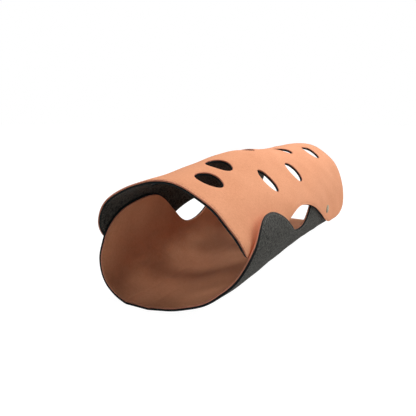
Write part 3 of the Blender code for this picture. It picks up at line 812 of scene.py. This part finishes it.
def bumped(graph, height, distance, strength):
    """Normals that follow a height."""
    sockets = {"Height": height, "Distance": distance, "Strength": strength}
    return graph.node("ShaderNodeBump", {}, sockets).outputs[0]


print("fibre pattern", round(1 / FIBRES[0] / MM, 2), "mm")

# %% Orange felt
ORANGE_DEEP = (0.670, 0.265, 0.125, 1.0)
ORANGE_PALE = (0.930, 0.445, 0.260, 1.0)
ORANGE_CONTRAST = (0.5, 0.7, 1.1)
ORANGE_RELIEF = 0.35 * MM
ORANGE_CUT_DEEP = (0.640, 0.225, 0.130, 1.0)
ORANGE_CUT_PALE = (0.920, 0.400, 0.265, 1.0)
ORANGE_CUT_CONTRAST = (0.3, 0.6, 1.4)
ORANGE_CUT_RELIEF = 0.30 * MM
FELT_ROUGHNESS = 0.95
FELT_SHEEN = 0.03
FELT_SPECULAR = 0.1
FELT_SHEEN_ROUGHNESS = 0.5
FELT_BUMP_STRENGTH = 0.6


def felt_finish(name, deep, pale, contrast, relief):
    """Felt between two shades. Contrast is the part that each of its three patterns has."""
    graph = Graph(bpy.data.materials.new(name))
    place = cloth_place(graph)
    blotches = graph.noise(place, *BLOTCHES)
    mottle = graph.noise(place, *MOTTLE)
    fibres = fibre_coat(graph, place)
    wide, middle, fine = contrast
    tone = 0.5 + (blotches - 0.5) * wide + (mottle - 0.5) * middle + (fibres - 0.5) * fine
    return graph.finish({
        "Base Color": graph.mix(tone.limited(), deep, pale),
        "Roughness": FELT_ROUGHNESS,
        "Specular IOR Level": FELT_SPECULAR,
        "Sheen Weight": FELT_SHEEN,
        "Sheen Roughness": FELT_SHEEN_ROUGHNESS,
        "Normal": bumped(graph, fibres, relief, FELT_BUMP_STRENGTH),
    })


ORANGE_FACE = felt_finish("orange_felt_face", ORANGE_DEEP, ORANGE_PALE, ORANGE_CONTRAST, ORANGE_RELIEF)
ORANGE_CUT = felt_finish(
    "orange_felt_cut", ORANGE_CUT_DEEP, ORANGE_CUT_PALE, ORANGE_CUT_CONTRAST, ORANGE_CUT_RELIEF,
)
print(ORANGE_FACE.name, len(ORANGE_FACE.node_tree.nodes), "nodes")

# %% Grey felt
GREY_DEEP = (0.012, 0.0125, 0.011, 1.0)
GREY_PALE = (0.096, 0.094, 0.084, 1.0)
GREY_CONTRAST = (0.3, 3.2, 4.2)
GREY_RELIEF = 0.45 * MM
GREY_CUT_DEEP = (0.003, 0.005, 0.006, 1.0)
GREY_CUT_PALE = (0.026, 0.034, 0.036, 1.0)
GREY_CUT_CONTRAST = (0.2, 0.6, 1.5)
GREY_CUT_RELIEF = 0.35 * MM

GREY_FACE = felt_finish("grey_felt_face", GREY_DEEP, GREY_PALE, GREY_CONTRAST, GREY_RELIEF)
GREY_CUT = felt_finish("grey_felt_cut", GREY_CUT_DEEP, GREY_CUT_PALE, GREY_CUT_CONTRAST, GREY_CUT_RELIEF)
FINISHES = {"orange": (ORANGE_FACE, ORANGE_CUT), "grey": (GREY_FACE, GREY_CUT)}
print(GREY_FACE.name, len(GREY_FACE.node_tree.nodes), "nodes")

# %% [markdown]
# Sewing thread is two strands twisted together, and on a stitch three millimetres long the twist
# shows as slanting lines. Two twisted tubes would cost hundreds of faces for each stitch. A wave
# of slanting bands on a plain stitch is enough: it bumps the stitch, and it is also painted into
# the thread's colour, as painted shade in the grooves of the twist and painted light on its crowns.

# %% Thread
# Deep is the painted shade in the grooves of the twist and pale the painted light on its crowns, with a
# random tone over both.
ORANGE_THREAD_DEEP = (0.46, 0.17, 0.085, 1.0)
ORANGE_THREAD_PALE = (0.84, 0.44, 0.28, 1.0)
GREY_THREAD_DEEP = (0.060, 0.060, 0.055, 1.0)
GREY_THREAD_PALE = (0.270, 0.270, 0.250, 1.0)
PLY_PER_METRE = 1400
PLY_DISTORTION = 1.0
PLY_RELIEF = 0.05 * MM
PLY_BUMP_STRENGTH = 0.6
THREAD_WEAR = (300, 2.0, 0.0)
THREAD_WEAR_SHARE = 0.4
THREAD_ROUGHNESS = 0.7


def thread_finish(name, deep, pale):
    graph = Graph(bpy.data.materials.new(name))
    place = cloth_place(graph)
    settings = {"wave_type": "BANDS", "bands_direction": "DIAGONAL"}
    sockets = {"Vector": place, "Scale": PLY_PER_METRE, "Distortion": PLY_DISTORTION}
    ply_relief_and_painted_shade = Value(graph, graph.node("ShaderNodeTexWave", settings, sockets).outputs["Fac"])
    # The bands paint the shade and light of the twist into the colour; the noise adds random tone.
    tone = ply_relief_and_painted_shade * (1 - THREAD_WEAR_SHARE) + graph.noise(place, *THREAD_WEAR) * THREAD_WEAR_SHARE
    return graph.finish({
        "Base Color": graph.mix(tone, deep, pale),
        "Roughness": THREAD_ROUGHNESS,
        "Sheen Weight": FELT_SHEEN,
        "Normal": bumped(graph, ply_relief_and_painted_shade, PLY_RELIEF, PLY_BUMP_STRENGTH),
    })


THREADS = {
    "orange": thread_finish("orange_sewing_thread", ORANGE_THREAD_DEEP, ORANGE_THREAD_PALE),
    "grey": thread_finish("grey_sewing_thread", GREY_THREAD_DEEP, GREY_THREAD_PALE),
}
print("threads", list(THREADS))

# %% [markdown]
# The press studs are antique brass: a brown green patina over brass, rubbed bright here and
# there. A mix of a dull and a metallic material would make the patina look like paint, so
# Metallic stays at one, and where the patina lies the metal is darker and rougher.

# %% Brass
BRASS_PATINA = (0.115, 0.100, 0.062, 1.0)
BRASS_RUBBED = (0.520, 0.450, 0.300, 1.0)
RUBBED_PLACES = (420, 5.0, 0.6)
RUBBED_STOPS = ((0.35, 0.0), (0.68, 1.0))
SCRATCHES = (2600, 2.0, 0.0)
SCRATCH_SHARE = 0.25
SCRATCH_DEPTH = 0.03 * MM
SCRATCH_BUMP_STRENGTH = 0.4
PATINA_ROUGHNESS = 0.56
RUBBED_SMOOTHER = 0.26


def brass_finish():
    graph = Graph(bpy.data.materials.new("antique_brass"))
    place = graph.node("ShaderNodeTexCoord", {}, {}).outputs["Object"]
    bright = graph.ramp(graph.noise(place, *RUBBED_PLACES), RUBBED_STOPS)
    scratches = graph.noise(place, *SCRATCHES)
    rubbed = bright * (1 - SCRATCH_SHARE) + scratches * SCRATCH_SHARE
    return graph.finish({
        "Base Color": graph.mix(rubbed, BRASS_PATINA, BRASS_RUBBED),
        "Metallic": 1.0,
        "Roughness": PATINA_ROUGHNESS - rubbed * RUBBED_SMOOTHER,
        "Normal": bumped(graph, scratches, SCRATCH_DEPTH, SCRATCH_BUMP_STRENGTH),
    })


BRASS = brass_finish()
print(BRASS.name, len(BRASS.node_tree.nodes), "nodes")

# %% [markdown]
# ## The pieces
#
# Each felt is cut in two across its valley, because its front lobe and its rear lobe turn about
# different hinges, and a piece can blend across only one. A lobe of its own would be stiff, and
# would tear from its sheet at the hinge. Every half has one hinged lobe, named here with the
# direction in which it lies from its hinge.

# %% Felts
HINGED_LOBES = {
    ("roof", True): ("front_left_flap", (-0.6, 0.0, -0.8)),
    ("roof", False): ("rear_right_tab", (0.6, 0.0, -0.8)),
    ("floor", True): ("front_right_flap", (0.6, 0.0, 0.8)),
    ("floor", False): ("rear_left_tab", (-0.6, 0.0, 0.8)),
}


def lobe_of(sheet, front):
    """The lobe that hinges on this half, where its hinge lies and the way that it lies from there."""
    lobe, direction = HINGED_LOBES[sheet.name, front]
    joint = next(joint for joint in frame["record"]["behaviour"]["joints"] if joint["child"] == lobe)
    return lobe, Vector(joint["pos_m"]), Vector(direction)


def hinge_on(piece):
    """Bake a piece's place into its points."""
    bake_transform(piece)


for sheet in (FLOOR, ROOF):
    outer_depth = 0.0
    for level, (felt, thickness) in enumerate(sheet.layers):
        for front, part in zip((True, False), halves(sheet, thickness)):
            where = "front" if front else "rear"
            name = f"{sheet.name}_{where}_{felt}_felt"
            area = part.calc_volume() / thickness
            width = sum(shares[1 if front else 2] for shares in sheet.sides.values()) * GIRTH
            length = (SPLIT_ALONG_SHARE if front else 1 - SPLIT_ALONG_SHARE) * TUNNEL_LENGTH
            inner = level == 1
            piece = felt_piece(name + "_cloth", sheet, part, thickness, outer_depth, inner, FINISHES[felt])
            lobe, _, _ = lobe_of(sheet, front)
            replaced = [f"{lobe}_{felt}_felt"]
            if not front:
                replaced.append(f"{sheet.name}_sheet_{felt}_felt")
            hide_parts(*replaced)
            felt + "_felt"
            hinge_on(piece)
            print(piece.name, len(piece.data.vertices), "points, flat area", round(area, 4))
        outer_depth += thickness + BOND_GAP

# %% [markdown]
# ## Stitches
#
# A seam runs round each sheet just inside its edge, through both felts. On either face it shows
# as a row of short stitches in the groove that they pull. A bump could draw them, but raised
# stitches catch the light and show from the side. A stitch is a slim ball, about three
# millimetres long: it is laid out flat along the seam, and bent with the sheet.

# %% Stitches
STITCH_PITCH = 5.0 * MM
STITCH_LENGTH = 2.9 * MM
STITCH_THICKNESS = 0.62 * MM
STITCH_SUNK = 0.12 * MM
STITCH_SIDES = 8
STITCH_RINGS = 6
FINE_STEP = 0.5 * MM


def seam_places(sheet):
    """Places and directions of a sheet's stitches, flat."""
    loop = outline_loop(sheet, FINE_STEP)
    ahead = np.roll(loop, -1, axis=0) - np.roll(loop, 1, axis=0)
    inward = np.stack([-ahead[:, 1], ahead[:, 0]], axis=-1)
    inward /= np.linalg.norm(inward, axis=-1, keepdims=True)
    seam = loop + SEAM_INSET * inward
    closed = np.concatenate([seam, seam[:1]])
    run = np.concatenate([[0.0], np.cumsum(np.hypot(*np.diff(closed, axis=0).T))])
    spots = np.linspace(0.0, run[-1], round(run[-1] / STITCH_PITCH), endpoint=False)
    places, nexts = (
        np.stack([np.interp(spots + step, run, closed[:, axis], period=run[-1]) for axis in (0, 1)], axis=-1)
        for step in (0.0, FINE_STEP)
    )
    return places, nexts - places


def grain():
    """One stitch, along X, at the origin."""
    bm = bmesh.new()
    size = Matrix.Diagonal((STITCH_LENGTH / 2, STITCH_THICKNESS / 2, STITCH_THICKNESS / 2, 1.0))
    lying = Matrix.Rotation(math.pi / 2, 4, "Y")
    bmesh.ops.create_uvsphere(
        bm, u_segments=STITCH_SIDES, v_segments=STITCH_RINGS, radius=1, matrix=size @ lying,
    )
    mesh = bpy.data.meshes.new("grain")
    bm.to_mesh(mesh)
    bm.free()
    mesh.shade_smooth()
    return mesh


def stitches(name, sheet, front, inner, finish):
    """The stitches on one face of one half of a sheet."""
    bm = bmesh.new()
    depth = GROOVE_DEPTH + STITCH_SUNK - STITCH_THICKNESS / 2
    height = depth - FELT_TOTAL if inner else -depth
    split = SPLIT_ALONG_SHARE * TUNNEL_LENGTH
    for (x, y), (step_x, step_y) in zip(*seam_places(sheet)):
        if (y < split) == front:
            one = GRAIN.copy()
            heading = Matrix.Rotation(math.atan2(step_y, step_x), 4, "Z")
            one.transform(Matrix.Translation((x, y, height)) @ heading)
            bm.from_mesh(one)
            bpy.data.meshes.remove(one)
    flat = np.array([vert.co.to_tuple() for vert in bm.verts])
    for vert, place in zip(bm.verts, sheet.bend(flat)):
        vert.co = place
    if bm.calc_volume(signed=True) < 0:
        bmesh.ops.reverse_faces(bm, faces=bm.faces[:])
    piece = link_mesh(name, bm)
    piece.data.materials.append(finish)
    keep_flat_place(piece, flat)
    return piece


GRAIN = grain()
for sheet in (FLOOR, ROOF):
    for front in (True, False):
        where = "front" if front else "rear"
        lobe, _, _ = lobe_of(sheet, front)
        for level, (felt, _) in enumerate(sheet.layers):
            name = f"{sheet.name}_{where}_{felt}_stitches"
            piece = stitches(name, sheet, front, level == 1, THREADS[felt])
            if level == 0:
                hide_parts(lobe + "_seam_thread", f"{sheet.name}_{where}_seam_thread")
            felt + "_thread"
            hinge_on(piece)
            print(piece.name, len(piece.data.polygons), "faces")

# %% [markdown]
# ## Press studs
#
# A press stud has four turned pieces. The cap is riveted through the outer lobe to the socket
# under it, and the stud and its post pinch the inner sheet. Stacked cylinders would do from
# afar, but a turned piece has soft lips and a dome. So each is a profile of radius and height
# that is spun about the stud's axis.

# %% Stud sizes
CAP_RADIUS = 9.0 * MM
CAP_RISE = 2.0 * MM
CAP_ROLL = 0.55 * MM
CAP_DISH = 0.25 * MM
CAP_DOME_SHARE = 0.98
SHANK_RADIUS = 1.7 * MM
SOCKET_RADIUS = 5.4 * MM
SOCKET_BORE_RADIUS = 3.1 * MM
SOCKET_ROOF = 0.6 * MM
SOCKET_DEPTH = 3.0 * MM
STUD_FLANGE_RADIUS = 5.0 * MM
STUD_FLANGE = 0.7 * MM
STUD_KNOB_RADIUS = 2.7 * MM
STUD_KNOB_RISE = 2.6 * MM
POST_RADIUS = 6.0 * MM
POST_FLANGE = 0.8 * MM
SNUG = 0.06 * MM
TURNED_SIDES = 64
CREASE_DEGREES = 50
ARC_STEPS = 6


def arc(centre, radius, start_degrees, end_degrees, rise=None):
    """Points along a rounded stretch of a profile."""
    rise = radius if rise is None else rise
    angles = np.radians(np.linspace(start_degrees, end_degrees, ARC_STEPS + 1))
    return [(centre[0] + radius * math.cos(angle), centre[1] + rise * math.sin(angle)) for angle in angles]


def turned(name, profile, place):
    """Spin a closed profile of radius and height into a piece."""
    bm = bmesh.new()
    ring = [bm.verts.new((radius, 0.0, height)) for radius, height in profile]
    edges = [bm.edges.new(pair) for pair in zip(ring, ring[1:])]
    if profile[0][0] > 0:
        edges.append(bm.edges.new((ring[-1], ring[0])))
    bmesh.ops.spin(
        bm, geom=ring + edges, cent=(0, 0, 0), axis=(0, 0, 1), dvec=(0, 0, 0), angle=math.tau,
        steps=TURNED_SIDES, use_merge=True, use_duplicate=False,
    )
    bmesh.ops.remove_doubles(bm, verts=bm.verts[:], dist=TOLERANCE)
    bmesh.ops.recalc_face_normals(bm, faces=bm.faces[:])
    bmesh.ops.transform(bm, matrix=place, verts=bm.verts[:])
    piece = link_mesh(name, bm)
    piece.data.shade_smooth()
    piece.data.set_sharp_from_angle(angle=math.radians(CREASE_DEGREES))
    piece.data.materials.append(BRASS)
    return piece


print("stud", CAP_RADIUS * 2, "m across its cap")


# %% Stud profiles
def cap_profile(top):
    """Domed cap with a rolled rim, and its shank down to the socket."""
    rim = top + SNUG
    crown = (CAP_RADIUS - CAP_ROLL, rim + CAP_ROLL)
    dome_start = (CAP_RADIUS - 2 * CAP_ROLL, rim + 2 * CAP_ROLL - CAP_DISH)
    dome_rise = CAP_RISE - 2 * CAP_ROLL + CAP_DISH
    dome = arc((0.0, dome_start[1]), dome_start[0] * CAP_DOME_SHARE, 0, 90, dome_rise)
    shank_end = top - FELT_TOTAL + SOCKET_DEPTH
    return (
        [(0.0, shank_end), (SHANK_RADIUS, shank_end), (SHANK_RADIUS, rim), (CAP_RADIUS - CAP_ROLL, rim)]
        + arc(crown, CAP_ROLL, -90, 90)[1:] + [dome_start] + dome[:-1] + [(0.0, dome[-1][1])]
    )


def socket_profile(top):
    """Cup under the outer sheet, open downwards, with a rounded lip."""
    lap = top - FELT_TOTAL
    roof = lap + SOCKET_DEPTH
    lip = SOCKET_ROOF / 2
    wall = SOCKET_BORE_RADIUS + lip
    return (
        [(SHANK_RADIUS + SNUG, roof), (SOCKET_RADIUS, roof), (SOCKET_RADIUS, lap + lip)]
        + arc((SOCKET_RADIUS - lip, lap + lip), lip, 0, -90)[1:]
        + arc((wall, lap + lip), lip, -90, -180)
        + [(SOCKET_BORE_RADIUS, roof - SOCKET_ROOF), (SHANK_RADIUS + SNUG, roof - SOCKET_ROOF)]
    )


def stud_profile(inner_top):
    """Flange on the inner sheet, with a waisted knob that snaps into the socket."""
    low = inner_top + SNUG
    flange = low + STUD_FLANGE
    head = flange + STUD_KNOB_RISE
    bulge = STUD_KNOB_RISE / 3
    return (
        [(SHANK_RADIUS + SNUG, low), (STUD_FLANGE_RADIUS, low)]
        + [(STUD_FLANGE_RADIUS, flange - SNUG), (STUD_FLANGE_RADIUS - SNUG, flange)]
        + [(STUD_KNOB_RADIUS - bulge / 2, flange), (STUD_KNOB_RADIUS - bulge / 2, head - 2 * bulge)]
        + arc((STUD_KNOB_RADIUS - bulge, head - bulge), bulge, -45, 90)
        + [(SHANK_RADIUS + SNUG, head)]
    )


def post_profile(inner_top):
    """Flat headed post through the inner sheet."""
    face = inner_top - FELT_TOTAL - SNUG
    head = inner_top + STUD_FLANGE + STUD_KNOB_RISE
    edge = POST_FLANGE / 2
    return (
        [(0.0, face - POST_FLANGE), (POST_RADIUS - edge, face - POST_FLANGE)]
        + arc((POST_RADIUS - edge, face - edge), edge, -90, 90)[1:]
        + [(SHANK_RADIUS, face), (SHANK_RADIUS, head), (0.0, head)]
    )


print("points in a cap's profile", len(cap_profile(0.0)))

# %% The two press studs
for side_name, turn in SNAP_TURN_SHARES.items():
    outer, under = (ROOF, FLOOR) if side_name == "rear_right" else (FLOOR, ROOF)
    base = Vector(tube(turn, SNAP_ALONG_SHARE))
    outward = Vector(tube_normal(turn, SNAP_ALONG_SHARE))
    around = Vector((0.0, 1.0, 0.0)).cross(outward).normalized()
    place = Matrix((around, outward.cross(around), outward)).transposed().to_4x4()
    place.translation = base
    tops = []
    for sheet in (outer, under):
        across = snap_across(sheet, side_name)
        spot = Vector(sheet.bend(np.array([[across * GIRTH, SNAP_ALONG_SHARE * TUNNEL_LENGTH, 0.0]]))[0])
        tops.append((spot - base).dot(outward))
    parts = {
        "cap": (cap_profile(tops[0]), side_name + "_tab"),
        "socket": (socket_profile(tops[0]), side_name + "_tab"),
        "stud": (stud_profile(tops[1]), "tunnel"),
        "post": (post_profile(tops[1]), "tunnel"),
    }
    for part, (profile, body) in parts.items():
        piece = turned(f"{side_name}_snap_{part}_brass", profile, place)
        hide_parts(f"{side_name}_snap_{part}")
        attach(piece, body)
    print(side_name, "stud, outer face at", round(tops[0] / MM, 2), "mm,", end=" ")
    print("inner at", round(tops[1] / MM, 2), "mm")

# %% [markdown]
# ## Last
